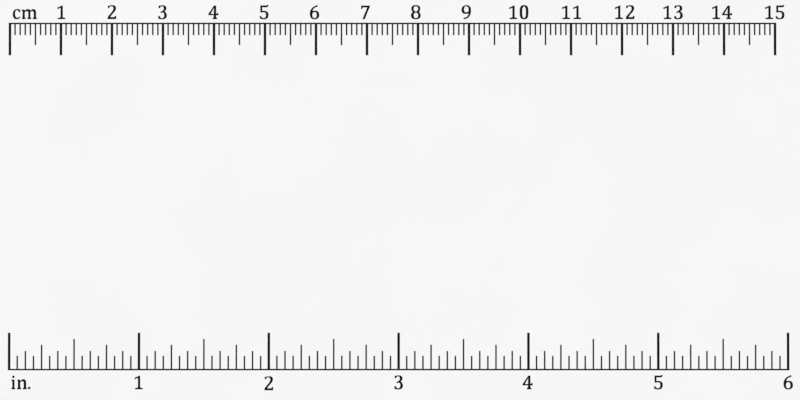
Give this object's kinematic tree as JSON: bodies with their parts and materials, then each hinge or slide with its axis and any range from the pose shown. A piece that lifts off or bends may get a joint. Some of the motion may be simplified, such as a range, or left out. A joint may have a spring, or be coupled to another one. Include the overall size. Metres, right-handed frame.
{
  "type": "ruler",
  "caption": "Flat white measuring plate with a centimetre scale along one long edge and an inch scale along the other, on low rubber pads.",
  "frame": {"origin": "under the middle of the plate, on the surface that the pads stand on", "axes": "+X along the scales from zero to the highest figure, +Y from the inch scale to the centimetre scale, +Z out of the marked face"},
  "size_m": [0.16, 0.08, 0.004],
  "materials": {
    "plate": "satin",
    "enamel": "satin",
    "pad_rubber": "matte",
    "adhesive": "satin"
  },
  "bodies": {
    "root": {"base_plate": "plate", "centimetre_scale_line": "enamel", "centimetre_marks": "enamel", "half_centimetre_marks": "enamel", "millimetre_marks": "enamel", "centimetre_figures": "enamel", "centimetre_label": "enamel", "inch_scale_line": "enamel", "inch_marks": "enamel", "half_inch_marks": "enamel", "quarter_inch_marks": "enamel", "eighth_inch_marks": "enamel", "sixteenth_inch_marks": "enamel", "inch_figures": "enamel", "inch_label": "enamel", "pad_front_left": "pad_rubber", "pad_front_right": "pad_rubber", "pad_rear_left": "pad_rubber", "pad_rear_right": "pad_rubber", "adhesive_front_left": "adhesive", "adhesive_front_right": "adhesive", "adhesive_rear_left": "adhesive", "adhesive_rear_right": "adhesive"}
  },
  "joints": []
}
